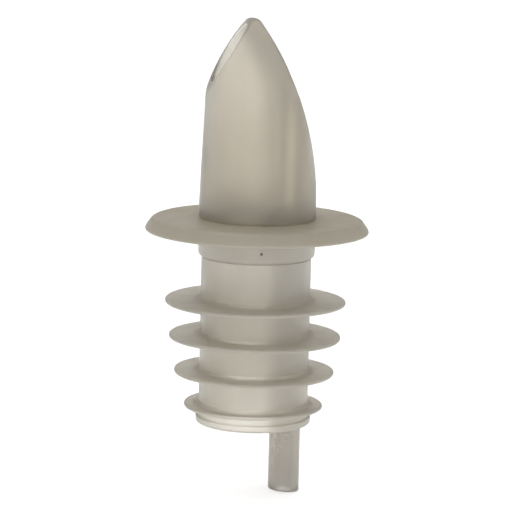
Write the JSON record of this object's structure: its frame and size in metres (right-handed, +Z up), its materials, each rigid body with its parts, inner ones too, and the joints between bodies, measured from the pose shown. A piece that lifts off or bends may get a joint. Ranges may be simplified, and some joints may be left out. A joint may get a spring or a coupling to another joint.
{
  "type": "free-flow bottle pour spout",
  "caption": "Beaked pouring spout in frosted translucent plastic with a round collar, a finned push-in stopper and an offset breather tube.",
  "frame": {"origin": "on the spout's axis, in the plane of the collar's underside, which rests on the bottle's lip", "axes": "+Z up along the stopper's axis, out of the bottle; the mouth of the beak faces -X and the breather tube stands on +X"},
  "size_m": [0.03, 0.03, 0.064],
  "materials": {
    "spout_plastic": "frosted translucent, satin",
    "collar_plastic": "milky, thick section, satin",
    "stopper_plastic": "soft frosted translucent, satin",
    "tube_plastic": "clear-milky extruded tube"
  },
  "bodies": {
    "root": {"spout": "spout_plastic", "collar": "collar_plastic", "stopper": "stopper_plastic", "breather_tube": "tube_plastic"}
  },
  "joints": []
}
